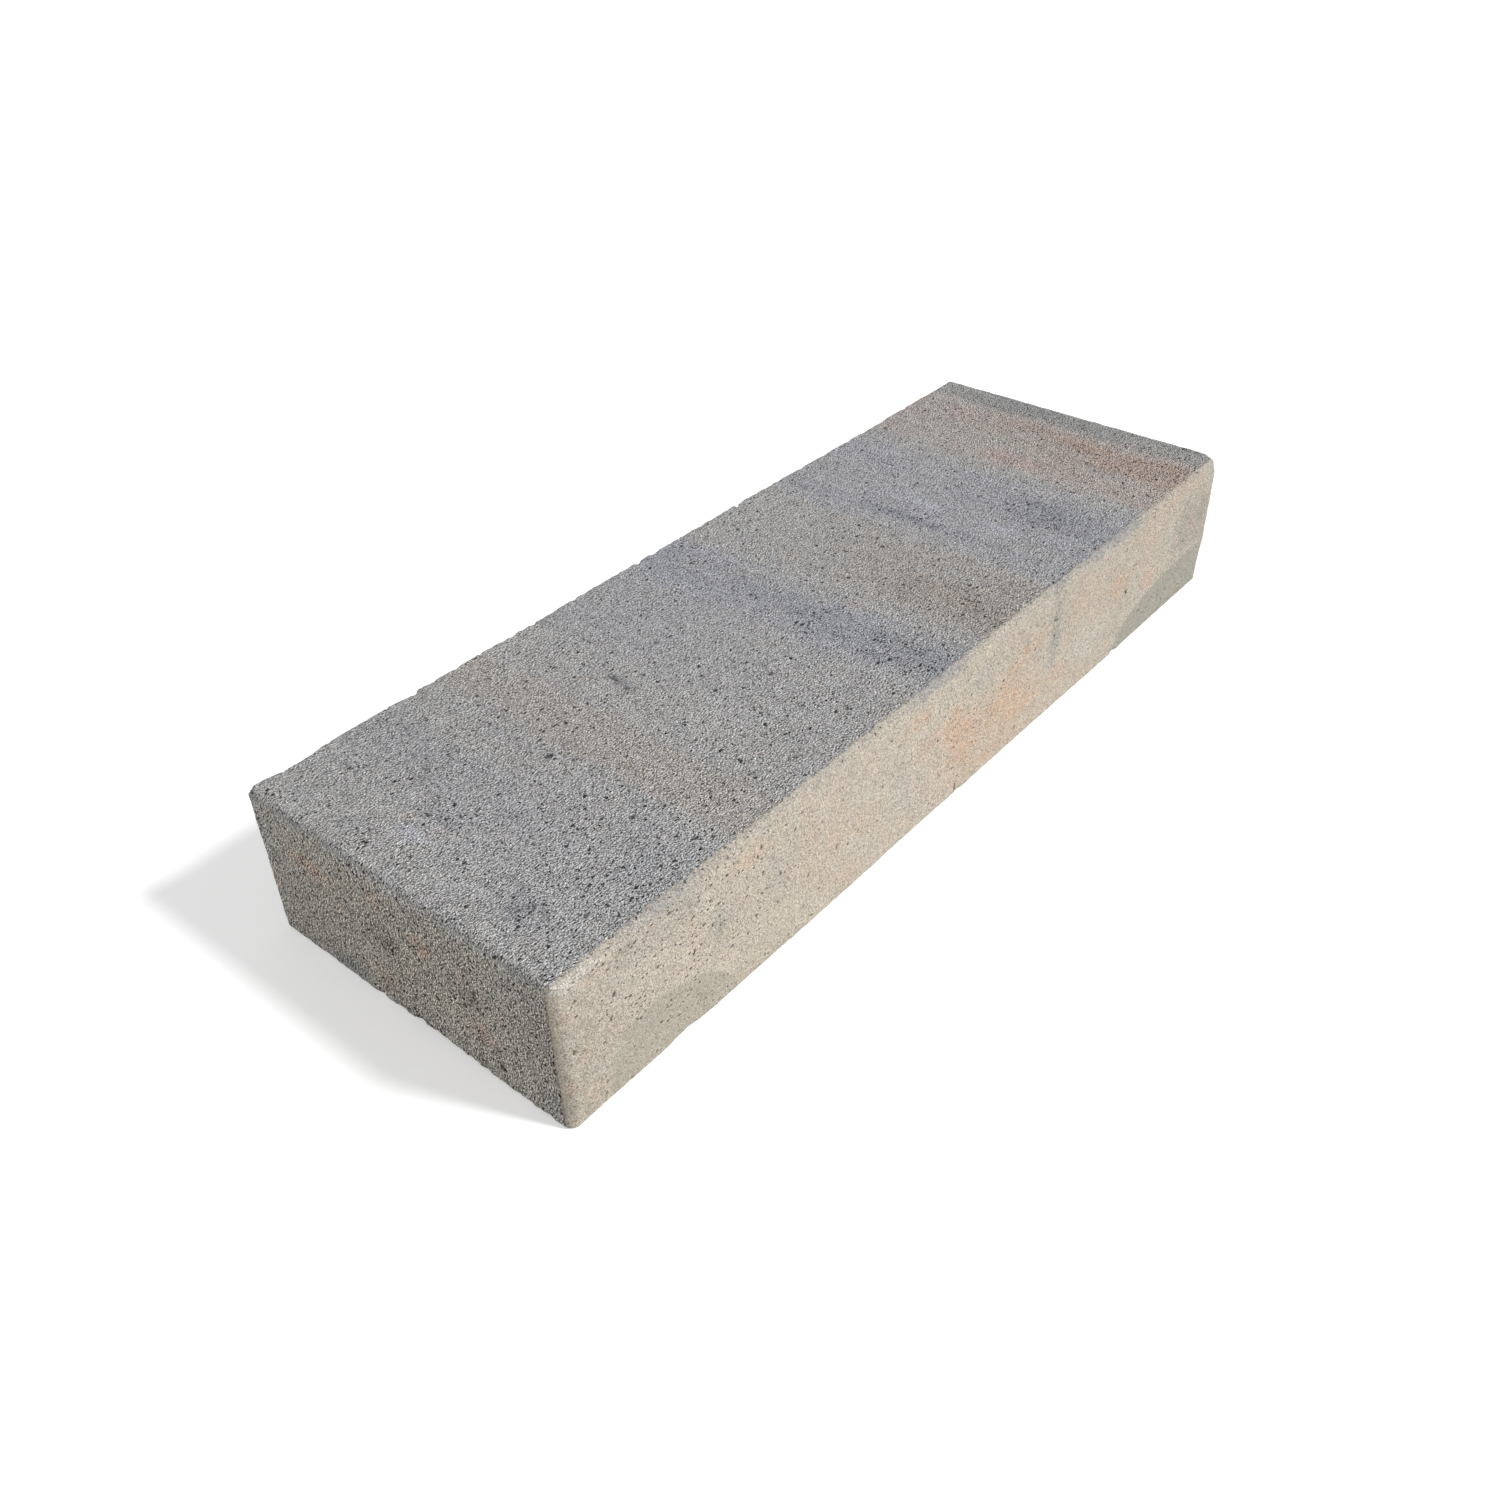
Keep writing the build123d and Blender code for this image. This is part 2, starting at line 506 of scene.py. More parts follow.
def drawSkin(grid):
    points, faces = skinFaces(grid)
    mesh = bpy.data.meshes.new("stoneBlock")
    mesh.from_pydata(points, [], faces)
    mesh.validate()
    poreList, chipList = poreMarks(pores), chipMarks(chips)
    cutFiner(mesh, poreList, pores["cuts"])
    cutFiner(mesh, chipList, chips["cuts"])
    pressMarks(mesh, "pore", poreList, pores["raggedness"])
    pressMarks(mesh, "chip", chipList, chips["raggedness"])
    pressFacets(mesh, facets)
    block = bpy.data.objects.new("stoneBlock", mesh)
    bpy.context.scene.collection.objects.link(block)
    wrap = block.modifiers.new("ontoTheBlock", "SHRINKWRAP")
    wrap.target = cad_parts["step_block"]
    wrap.wrap_method = "NEAREST_SURFACEPOINT"
    ease = block.modifiers.new("easeFacets", "SMOOTH")
    ease.factor = grid["ease"]
    ease.iterations = grid["easeRounds"]
    return block


stoneBlock = drawSkin(skinGrid)
print("skin drawn,", len(stoneBlock.data.polygons), "faces")


# Relief that is large enough to see in the outline, made in Geometry Nodes

relief = {
    "Wave Size": 0.19, "Wave Height": 0.00025,     # slow swell of the faces
    "Lump Size": 0.028, "Lump Height": 0.00025,
    "Grit Size": 0.0080, "Grit Height": 0.00045,
    "Wear Size": 0.011, "Wear Height": 0.0011,     # crumbled edges
    "Wear Reach": 0.006,
    "Arris Wear": 0.0013, "Arris Reach": 0.006,    # the back arris is lower towards the far end
    "Corner Wear": 0.0044, "Corner Reach": 0.020,  # the far front corner is rounder than the others
}
arrisRun = (0.10, 0.28)      # where the lower arris starts and is full, metres right of the block's middle
bedFade = (0.0005, 0.004)    # points below the first height move sideways only
diagonalShare = 0.577        # how much of a move along the corner's diagonal goes along each axis


def edgeNearness(tree, place):
    # how far a point is from the nearest edge of the block: the second smallest of its
    # distances to the three pairs of faces
    middle = (blockLow + blockHigh) / 2
    half = (blockHigh - blockLow) / 2
    out = vectorMaths(tree, "ABSOLUTE", vectorMaths(tree, "SUBTRACT", place, tuple(middle)), (0, 0, 0))
    x, y, z = axes(tree, vectorMaths(tree, "SUBTRACT", tuple(half), out))
    low = maths(tree, "MINIMUM", x, y)
    high = maths(tree, "MAXIMUM", x, y)
    return maths(tree, "MAXIMUM", low, maths(tree, "MINIMUM", high, z))


def reliefTree(sizes, material):
    tree = bpy.data.node_groups.new("stoneRelief", "GeometryNodeTree")
    face = tree.interface
    face.new_socket("Geometry", in_out="INPUT", socket_type="NodeSocketGeometry")
    for name in sizes:
        face.new_socket(name, in_out="INPUT", socket_type="NodeSocketFloat").default_value = sizes[name]
    face.new_socket("Geometry", in_out="OUTPUT", socket_type="NodeSocketGeometry")
    given = tree.nodes.new("NodeGroupInput").outputs
    place = addNode(tree, "GeometryNodeInputPosition")

    def blobs(name, detail, move):
        away = vectorMaths(tree, "ADD", place, (move, move * 0.7, move * 1.3))
        size = maths(tree, "DIVIDE", 1.0, given[name + " Size"])
        inputs = {"Vector": away, "Scale": size, "Detail": detail, "Roughness": 0.55}
        return ramp(tree, addNode(tree, "ShaderNodeTexNoise", inputs), 0.28, 0.72)

    # every part of the relief goes inwards, so that the block keeps its size
    depth = times(tree, blobs("Wave", 1.0, 3.1), given["Wave Height"])
    for name, detail, move in (("Lump", 2.0, 7.7), ("Grit", 2.0, 1.9)):
        part = times(tree, blobs(name, detail, move), given[name + " Height"])
        depth = plus(tree, depth, part)

    near = edgeNearness(tree, place)
    reach = minus(tree, 1.0, maths(tree, "DIVIDE", near, given["Wear Reach"]), clamp=True)
    worn = maths(tree, "POWER", blobs("Wear", 3.0, 5.3), 2.0)
    worn = times(tree, times(tree, worn, reach), given["Wear Height"])
    depth = plus(tree, depth, worn)

    toMiddle, fromBack, drop = axes(tree, vectorMaths(tree, "SUBTRACT", (0.0, backFace, tread), place))
    near = maths(tree, "DIVIDE", maths(tree, "MAXIMUM", fromBack, drop), given["Arris Reach"])
    worn = times(tree, ramp(tree, near, 0.0, 1.0, 1.0, 0.0), given["Arris Wear"])
    worn = times(tree, worn, ramp(tree, toMiddle, -arrisRun[1], -arrisRun[0], 1.0, 0.0))
    depth = plus(tree, depth, worn)
    for name in ("pore", "chip", "facet"):
        pressed = addNode(tree, "GeometryNodeInputNamedAttribute", {"Name": name}, data_type="FLOAT")
        depth = plus(tree, depth, pressed)

    # low points move sideways only, so that the bed stays flat on the ground
    lift = ramp(tree, axes(tree, place)[2], bed + bedFade[0], bed + bedFade[1])
    inwards = times(tree, depth, -1.0)
    push = joined(tree, inwards, inwards, times(tree, inwards, lift))
    push = vectorMaths(tree, "MULTIPLY", addNode(tree, "GeometryNodeInputNormal"), push)

    # the far front corner goes in along its diagonal
    far = vectorMaths(tree, "DISTANCE", place, (rightEnd, riserFace, tread), "Value")
    far = maths(tree, "DIVIDE", far, given["Corner Reach"])
    rounder = times(tree, ramp(tree, far, 0.2, 1.0, diagonalShare, 0.0), given["Corner Wear"])
    inwards = times(tree, rounder, -1.0)
    push = vectorMaths(tree, "ADD", push, joined(tree, inwards, rounder, inwards))
    moved = addNode(tree, "GeometryNodeSetPosition", {"Geometry": given["Geometry"], "Offset": push})
    smooth = addNode(tree, "GeometryNodeSetShadeSmooth", {"Geometry": moved})
    real = addNode(tree, "GeometryNodeRealizeInstances", {"Geometry": smooth})
    dressed = addNode(tree, "GeometryNodeSetMaterial", {"Geometry": real, "Material": material})
    addNode(tree, "NodeGroupOutput", {"Geometry": dressed}, output=slice(0))
    return tree


def makePlain(obj):
    # the result of all modifiers as the object's own mesh
    seen = obj.evaluated_get(bpy.context.evaluated_depsgraph_get())
    mesh = bpy.data.meshes.new_from_object(seen)
    mesh.name = obj.name
    obj.modifiers.clear()
    obj.data = mesh


# Colours of the stone

stoneColours = {
    "tread": (158, 157, 156),
    "riser": (199, 189, 174),
    "end": (166, 161, 152),
    "back": (172, 166, 156),
    "rim": (166, 161, 153),      # where the riser turns over into the tread
    "warm": (186, 160, 140),     # chance patches on the hidden faces
    "dark": (146, 142, 137),
}
mottles = {       # soft spots at random on each kind of face: warm colour, cool colour, how strong
    "tread": ((172, 157, 145), (150, 152, 160), 0.24),
    "riser": ((209, 182, 163), (188, 185, 173), 0.36),
    "end": ((176, 156, 146), (148, 149, 149), 0.30),
}
treadBands = [    # start, end, softness of their sides, colour, strength at the front and at the back
    (85, 140, 14, (142, 145, 153), 0.0, 0.40),
    (30, 180, 30, (148, 150, 154), 0.40, 0.0),
    (196, 250, 10, (162, 153, 144), 0.45, 0.40),
    (320, 440, 20, (150, 151, 155), 0.12, 0.55),
    (438, 515, 10, (148, 150, 157), 0.48, 0.78),
    (455, 497, 6, (136, 138, 144), 0.60, 0.45),
    (540, 650, 12, (154, 148, 142), 0.68, 0.00),
    (553, 594, 8, (152, 143, 136), 0.55, -0.20),
    (655, 815, 12, (151, 152, 158), 0.58, 0.60),
    (676, 692, 4, (132, 134, 143), 0.22, 0.30),
    (742, 798, 8, (134, 136, 143), 0.38, -0.05),
    (840, 975, 7, (164, 153, 147), 0.86, 0.52),
    (893, 948, 10, (156, 136, 124), 0.72, 0.12),
    (961, 1010, 7, (139, 139, 138), 0.76, 1.05),
]

# Soft blotches, one over the other: place on the face, half width and half height, colour,
# strength. A place is so far along and back on the tread, along and up on the riser, and
# back and up on an end.

treadClouds = [
    ((48, 202), (7, 26), (178, 179, 188), 0.6),
    ((74, 203), (9, 26), (130, 131, 136), 0.6),
    ((45, 75), (21, 24), (126, 128, 136), 0.42),
    ((100, 310), (160, 80), (148, 148, 147), 0.45),
    ((292, 220), (6, 22), (118, 120, 124), 0.6),
    ((684, 200), (8, 52), (124, 127, 137), 0.5),
    ((718, 188), (6, 22), (178, 179, 190), 0.6),
    ((722, 105), (6, 24), (174, 176, 186), 0.5),
    ((795, 295), (8, 18), (180, 180, 190), 0.5),
    ((768, 90), (30, 50), (122, 124, 134), 0.38),
    ((925, 288), (18, 26), (168, 148, 144), 0.5),
    ((858, 176), (18, 44), (170, 150, 146), 0.5),
    ((892, 208), (14, 50), (160, 160, 152), 0.6),
]
riserClouds = [
    # painted shade over the left end of the riser, by the rounded upright corner
    ((5, 60), (85, 120), (183, 174, 160), 0.85),
    ((820, 125), (260, 50), (188, 174, 159), 0.50),
    ((555, 55), (120, 50), (203, 180, 159), 0.50),
    ((900, 60), (230, 140), (188, 180, 166), 0.80),
    ((665, 110), (60, 70), (190, 182, 169), 0.70),
    ((205, 128), (26, 14), (208, 184, 160), 0.50),
    ((428, 122), (22, 10), (210, 176, 146), 0.60),
    ((452, 88), (30, 18), (208, 184, 162), 0.5),
    ((486, 86), (18, 22), (208, 172, 142), 0.55),
    ((508, 56), (24, 32), (210, 174, 146), 0.60),
    ((578, 66), (42, 18), (208, 174, 144), 0.55),
    ((604, 40), (46, 11), (212, 176, 144), 0.60),
    ((588, 92), (22, 14), (196, 168, 140), 0.5),
    ((622, 102), (24, 12), (202, 170, 142), 0.6),
    ((560, 14), (70, 7), (208, 178, 148), 0.5),
    ((676, 43), (16, 14), (208, 172, 142), 0.50),
    ((330, 20), (22, 12), (210, 184, 160), 0.45),
    ((318, 78), (14, 30), (206, 184, 164), 0.45),
    ((284, 78), (16, 32), (204, 183, 163), 0.4),
    ((345, 62), (10, 12), (208, 180, 154), 0.45),
    ((718, 100), (42, 26), (202, 182, 162), 0.55),
    ((792, 86), (26, 17), (200, 170, 146), 0.7),
    ((852, 110), (26, 28), (204, 182, 166), 0.55),
    ((900, 142), (80, 12), (200, 178, 158), 0.5),
    ((862, 66), (17, 17), (212, 178, 160), 0.55),
    ((902, 98), (13, 20), (208, 206, 190), 0.7),
    ((910, 68), (22, 5), (214, 200, 184), 0.7),
    ((950, 92), (58, 46), (166, 160, 148), 0.88),
    ((985, 140), (22, 14), (186, 184, 176), 0.70),
    # a painted shadow in a strip along the foot
    ((115, 1), (26, 3.5), (104, 100, 92), 0.70),
    ((75, 134), (10, 7), (140, 142, 138), 0.6),
    ((140, 134), (20, 8), (176, 172, 164), 0.6),
    ((168, 85), (19, 19), (158, 156, 148), 0.5),
    ((238, 85), (26, 20), (180, 174, 164), 0.5),
    ((538, 110), (30, 18), (184, 180, 168), 0.55),
    ((418, 54), (34, 24), (192, 187, 177), 0.6),
    ((664, 100), (13, 44), (150, 154, 147), 0.60),
    ((664, 64), (16, 26), (178, 176, 166), 0.5),
    ((727, 52), (40, 26), (200, 195, 183), 0.6),
    ((758, 140), (50, 8), (190, 188, 180), 0.6),
    # a painted highlight along the top of the riser at the left end
    ((18, 145), (30, 4), (216, 208, 194), 0.8),
    ((252, 40), (50, 10), (206, 197, 180), 0.5),
    # more painted shade by the rounded upright corner
    ((12, 50), (24, 80), (180, 172, 157), 0.6),
    ((100, 126), (60, 18), (180, 172, 161), 0.65),
    ((560, 125), (110, 20), (190, 181, 168), 0.6),
    ((330, 126), (40, 16), (192, 181, 168), 0.4),
]
rimClouds = [     # where the grey of the tread runs down over the riser, and a painted highlight on the rounded edge near the left end
    # painted highlight along the rounded front edge at the left end
    ((22, 146), (34, 6), (194, 189, 180), 0.8),
    ((118, 148), (48, 8), (150, 150, 150), 0.55),
    ((465, 148), (48, 8), (146, 148, 151), 0.65),
    ((670, 148), (22, 8), (150, 151, 152), 0.55),
    ((765, 148), (66, 9), (147, 149, 152), 0.65),
]
endClouds = [
    ((175, 0), (220, 60), (186, 181, 172), 0.90),
    ((290, 107), (26, 11), (190, 154, 132), 0.34),
    ((262, 100), (28, 14), (184, 160, 144), 0.34),
    ((198, 118), (11, 12), (184, 148, 132), 0.34),
    ((148, 100), (12, 13), (204, 166, 136), 0.36),
    ((166, 66), (12, 28), (188, 176, 164), 0.40),
    ((118, 56), (22, 22), (184, 170, 158), 0.36),
    ((205, 30), (18, 18), (172, 150, 138), 0.5),
    ((88, 44), (18, 22), (164, 142, 130), 0.55),
    ((42, 62), (14, 20), (176, 160, 155), 0.3),
    ((195, 74), (28, 14), (146, 140, 132), 0.4),
    ((92, 82), (24, 12), (146, 140, 132), 0.4),
    ((255, 12), (30, 14), (146, 150, 152), 0.6),
    ((14, 22), (18, 22), (132, 134, 134), 0.7),
    ((40, 122), (32, 26), (150, 148, 143), 0.55),
    ((170, 143), (200, 6), (178, 178, 175), 0.7),
    ((20, 75), (34, 85), (150, 146, 139), 0.65),
    ((340, 125), (44, 60), (160, 158, 152), 0.70),
]
pitted = {        # where the small pits crowd together: place, half width and half height, how much
    "tread": [
        ((477, 45), (34, 60), 0.34),
        ((470, 130), (26, 60), 0.20),
        ((768, 75), (40, 62), 0.32),
        ((585, 40), (45, 75), 0.24),
        ((50, 72), (22, 18), 0.34),
        ((76, 200), (14, 44), 0.30),
        ((684, 200), (10, 60), 0.34),
        ((120, 30), (110, 34), 0.12),
        ((925, 70), (50, 100), 0.14),
    ],
    "riser": [
        ((167, 86), (14, 13), 0.45),
        ((150, 90), (140, 70), 0.30),
        ((238, 85), (18, 14), 0.40),
        ((75, 133), (9, 7), 0.50),
        ((520, 85), (130, 50), 0.12),
        ((664, 100), (6, 40), 0.50),
    ],
    "end": [
        ((195, 74), (30, 20), 0.24),
        ((92, 82), (30, 18), 0.24),
    ],
}
blotches = {      # widths in metres
    "frays": 0.020,          # of the shifts that fray the outline of every blotch
    "shift": {"tread": (0.016, 0.030, 0), "riser": (0.040, 0.030, 0),
              "facets": (0.006, 0.006, 0), "end": (0.030, 0.022, 0)},
    "breaks": 0.009,         # of the weak places in every blotch
    "warm": 0.024,           # of the mottles
    "cool": 0.020,
    "wavers": 0.05,          # of the bends in the bands, and how far they go
    "bend": 0.034,
    "patches": 0.035,        # of the weak places in the bands
    "streaks": 0.010,
    "hiddenWarm": 0.055,     # of the chance patches
    "hiddenDark": 0.045,
}
faceGrain = {     # how uneven each kind of face is, and how strong its crumbs' painted light and shade are; lift makes up for the dark of its holes and gaps
    "tread": {
        "shade": 0.80, "paintedLightAndShade": 3.8, "gaps": 0.72, "pits": 0.95,
        "pocks": 0.90, "holed": 0.03, "bump": 1.0, "lift": 1.29,
    },
    "riser": {
        "shade": 0.50, "paintedLightAndShade": 1.5, "gaps": 0.30, "pits": 0.80,
        "pocks": 0.70, "holed": -0.20, "bump": 0.4, "lift": 0.885,
    },
    "end": {
        "shade": 0.90, "paintedLightAndShade": 4.8, "gaps": 0.78, "pits": 0.98,
        "pocks": 0.95, "holed": 0.08, "bump": 1.5, "lift": 1.49,
    },
}
grain = {
    "sand": 0.0009,          # width of the grains
    "paintedCrumbs": 0.0014,        # width of the crumbs painted pale in front and dark behind: painted highlight and painted shade
    "fineCrumbs": 0.0012,    # the same on the riser
    "coarseSand": 0.0013,    # both wider on the ends
    "coarseCrumbs": 0.0017,
    "crumbSides": 0.3,       # how far the painted highlight and the painted shade of a crumb lie from its middle, in widths
    "fuzz": 0.0016,          # how ragged the grains are, and how wide the rags
    "tint": 0.07,            # how much the grains differ in hue
    "lumps": 0.0024,         # width and height of the roughness over the grains
    "lumpHeight": 0.0016,
    "grainHeight": 0.0004,
    "pitSpacing": 0.0028,
    "pitWidth": 0.34,        # of the spacing, at most
    "pockSpacing": 0.0062,   # wider pits, further apart
    "pockWidth": 0.25,
    "pitCrowd": 1.7,         # how much both gather in some places
    "clump": 0.012,
    "facetCalm": 0.35,       # how much smoother the dressed facets are
    "backShare": 0.55,       # how much of the ends' roughness the back has
}
turnover = {      # where one face's colour gives way to the next, in metres
    "treadFromRiser": (0.0050, 0.0064),      # past the middle line of the rounded edge
    "treadFromEnd": (-0.009, 0.001),
    "treadFromBack": (-0.003, 0.003),
    "endFromRiser": (0.0070, 0.0092),        # back from the riser
    "endFromSides": (-0.009, -0.004),        # out from the face of the end
    "back": (-0.010, -0.002),                # out from the back
    "rim": (-0.0085, -0.0045),               # up from the tread
    "rimStrength": 0.55,
    "wobble": 0.016,
    "fray": 0.017,
}


def softWindow(tree, value, start, end, soft):
    rise = ramp(tree, value, start - soft, start + soft)
    fall = ramp(tree, value, end - soft, end + soft, 1.0, 0.0)
    return times(tree, rise, fall)


def cover(tree, flat, at, size, amount):
    # how strongly a blotch shows at each point of a face
    u, v, width, height = (v / 1000 for v in (*at, *size))
    inputs = {0: flat, 1: (1 / width, 1 / height, 1), 2: (-u / width, -v / height, 0)}
    near = addNode(tree, "ShaderNodeVectorMath", inputs, operation="MULTIPLY_ADD")
    far = vectorMaths(tree, "LENGTH", near, (0, 0, 0), "Value")
    return ramp(tree, far, 0.25, 1.30, amount, 0.0)


def clouds(tree, colour, flat, spots, broken):
    # soft blotches, one over the other, at places on a face
    for at, size, over, strength in spots:
        amount = times(tree, cover(tree, flat, at, size, strength), broken, clamp=True)
        colour = mixColours(tree, amount, colour, paint(*over))
    return colour


def crowding(tree, flat, spots):
    crowd = 0.0
    for spot in spots:
        crowd = maths(tree, "MAXIMUM", crowd, cover(tree, flat, *spot))
    return crowd


def ridgeMask(tree, x, z, spot, soft):
    # 1 inside the arch of a facet
    out = maths(tree, "POWER", maths(tree, "DIVIDE", z, spot["height"]), 2.0)
    for side, way in ((0, -1.0), (1, 1.0)):
        part = times(tree, minus(tree, x, spot["top"]), way / spot["reach"][side])
        part = maths(tree, "POWER", maths(tree, "MAXIMUM", part, 0.0), spot["arch"][side])
        out = plus(tree, out, part)
    soft *= 2 / spot["height"]
    return ramp(tree, out, 1 - soft, 1 + soft, 1.0, 0.0)


def facePlaces(tree, place):
    # the measures and places that the colours of all faces use
    x, y, z = axes(tree, place)
    on = {"place": place, "x": x, "y": y, "z": z}
    on["along"] = minus(tree, x, leftEnd)
    on["back"] = minus(tree, y, riserFace)
    on["up"] = minus(tree, z, bed)
    on["otherEnd"] = ramp(tree, x, 0.0, 0.1)

    # places on each face, with ragged shifts so that no blotch has a clean outline
    ragged = noise(tree, place, blotches["frays"], 4.0, 0.65, "Color")
    ragged = vectorMaths(tree, "SUBTRACT", ragged, (0.5, 0.5, 0.5))
    on["tread"] = joined(tree, on["along"], on["back"])
    on["riser"] = on["facets"] = joined(tree, on["along"], on["up"])
    on["end"] = joined(tree, on["back"], on["up"], times(tree, on["otherEnd"], 5.0))
    for name, amounts in blotches["shift"].items():
        on[name] = vectorMaths(tree, "ADD", on[name], vectorMaths(tree, "MULTIPLY", ragged, amounts))

    broken = noise(tree, shifted(tree, place, (2, 5, 1)), blotches["breaks"], 4.0, 0.65)
    on["broken"] = ramp(tree, broken, 0.30, 0.70, 0.45, 1.35)
    for name, move in (("warm", (7, 2, 4)), ("cool", (1, 8, 6))):
        spots = noise(tree, shifted(tree, place, move), blotches[name], 5.0, 0.65)
        on[name] = ramp(tree, spots, 0.48, 0.70)
    wobble = minus(tree, noise(tree, place, 0.030, 4.0, 0.65), 0.5)
    on["wobble"] = times(tree, wobble, turnover["wobble"])
    frayed = minus(tree, noise(tree, place, 0.004, 4.0, 0.75), 0.5)
    frayed = times(tree, frayed, turnover["fray"])
    on["frayed"] = plus(tree, times(tree, on["wobble"], 0.35), frayed)
    return on


def faceMasks(tree, on):
    # 1 on a face and 0 off it, by how far a point lies past the middle line of each edge
    wobble, frayed = on["wobble"], on["frayed"]

    def past(value, shift, name):
        return ramp(tree, plus(tree, value, shift), *turnover[name])

    onBack = [backFace + v for v in turnover["back"]]
    on["isBack"] = ramp(tree, plus(tree, on["y"], wobble), *onBack)
    drop = minus(tree, tread, on["z"])
    out = minus(tree, maths(tree, "ABSOLUTE", on["x"]), rightEnd)
    pastFront = minus(tree, on["back"], drop)
    pastEnd = minus(tree, times(tree, out, -1.0), drop)
    pastBack = minus(tree, minus(tree, backFace, on["y"]), drop)
    fromRiser = past(on["back"], times(tree, frayed, 0.3), "endFromRiser")
    on["isEnd"] = times(tree, past(out, wobble, "endFromSides"), fromRiser)
    isTread = past(pastFront, frayed, "treadFromRiser")
    isTread = times(tree, isTread, past(pastEnd, wobble, "treadFromEnd"))
    on["isTread"] = times(tree, isTread, past(pastBack, wobble, "treadFromBack"))


def mottled(tree, on, colour, name):
    warm, cool, strength = mottles[name]
    colour = mixColours(tree, times(tree, on["warm"], strength), colour, paint(*warm))
    return mixColours(tree, times(tree, on["cool"], strength), colour, paint(*cool))


def treadPaint(tree, on):
    # bands and streaks that run from the riser to the back
    drawn = stretched(tree, on["place"], (1, 0.4, 1))
    waver = minus(tree, noise(tree, drawn, blotches["wavers"], 4.0, 0.6), 0.5)
    bent = plus(tree, on["along"], times(tree, waver, blotches["bend"]))
    patchy = noise(tree, shifted(tree, drawn, (4, 1, 2)), blotches["patches"], 4.0, 0.6)
    patchy = ramp(tree, patchy, 0.28, 0.62, 0.45, 1.15)
    towardsBack = maths(tree, "DIVIDE", on["back"], backFace - riserFace)
    colour = mottled(tree, on, paint(*stoneColours["tread"]), "tread")
    for *sides, over, atFront, atBack in treadBands:
        amount = ramp(tree, towardsBack, 0.05, 0.95, atFront, atBack)
        amount = times(tree, softWindow(tree, bent, *(v / 1000 for v in sides)), amount)
        amount = times(tree, amount, patchy, clamp=True)
        colour = mixColours(tree, amount, colour, paint(*over))
    colour = clouds(tree, colour, on["tread"], treadClouds, on["broken"])
    streaks = noise(tree, stretched(tree, on["place"], (1, 0.10, 1)), blotches["streaks"], 3.0, 0.6)
    streaks = ramp(tree, streaks, 0.30, 0.70, 0.95, 1.05)
    streaks = addNode(tree, "ShaderNodeCombineColor", {0: streaks, 1: streaks, 2: streaks})
    return mixColours(tree, 1.0, colour, streaks, "MULTIPLY")


def riserPaint(tree, on):
    # the riser and its facets, with the rim where it turns over into the tread
    colour = clouds(tree, paint(*stoneColours["riser"]), on["riser"], riserClouds, on["broken"])
    colour = mottled(tree, on, colour, "riser")
    along, up, flat = axes(tree, on["facets"])
    on["isFacet"] = 0.0
    for spot in facets:
        if "colour" in spot:
            # the facets' colours: partly their own, partly painted shade
            mask = times(tree, ridgeMask(tree, along, up, spot, facetFray), spot["amount"])
            colour = mixColours(tree, mask, colour, paint(*spot["colour"]))
            on["isFacet"] = maths(tree, "MAXIMUM", on["isFacet"], mask)
    start, end = (tread + v for v in turnover["rim"])
    rim = ramp(tree, plus(tree, on["z"], on["frayed"]), start, end, 0.0, turnover["rimStrength"])
    colour = mixColours(tree, rim, colour, paint(*stoneColours["rim"]))
    return clouds(tree, colour, on["riser"], rimClouds, on["broken"])


def hiddenPaint(tree, on, name):
    # the back and the far end have chance patches
    hidden = maths(tree, "MAXIMUM", on["isBack"], on["otherEnd"])
    warm = noise(tree, on["place"], blotches["hiddenWarm"], 4.0, 0.6)
    warm = ramp(tree, warm, 0.52, 0.70, 0.0, 0.6)
    dark = noise(tree, shifted(tree, on["place"], (3, 1, 5)), blotches["hiddenDark"], 4.0, 0.6)
    dark = ramp(tree, dark, 0.54, 0.72, 0.0, 0.6)
    colour = paint(*stoneColours[name])
    for amount, over in ((warm, "warm"), (dark, "dark")):
        colour = mixColours(tree, times(tree, amount, hidden), colour, paint(*stoneColours[over]))
    return colour


def endPaint(tree, on):
    colour = mottled(tree, on, hiddenPaint(tree, on, "end"), "end")
    return clouds(tree, colour, on["end"], endClouds, on["broken"])


def perFace(tree, on, name):
    # a value of faceGrain, blended where one face turns into the next
    riser, end, top = (faceGrain[key][name] for key in ("riser", "end", "tread"))
    rough = maths(tree, "MAXIMUM", times(tree, on["isBack"], grain["backShare"]), on["isEnd"])
    return ramp(tree, on["isTread"], 0.0, 1.0, ramp(tree, rough, 0.0, 1.0, riser, end), top)


def darkened(tree, light, amount, strength):
    return times(tree, light, minus(tree, 1.0, times(tree, amount, strength)))


def paintedCrumbs(tree, place, width, squeeze=1):
    # painted light and shade on crumbs too fine for a small picture to shade: each is painted paler on its
    # front, towards the lamp, and darker behind
    sides = []
    for way in (-1, 1):
        side = shifted(tree, place, (0, way * width * grain["crumbSides"], 0))
        sides.append(noise(tree, stretched(tree, side, (squeeze, 1, 1)), width, 2.0, 0.6))
    return minus(tree, *sides)


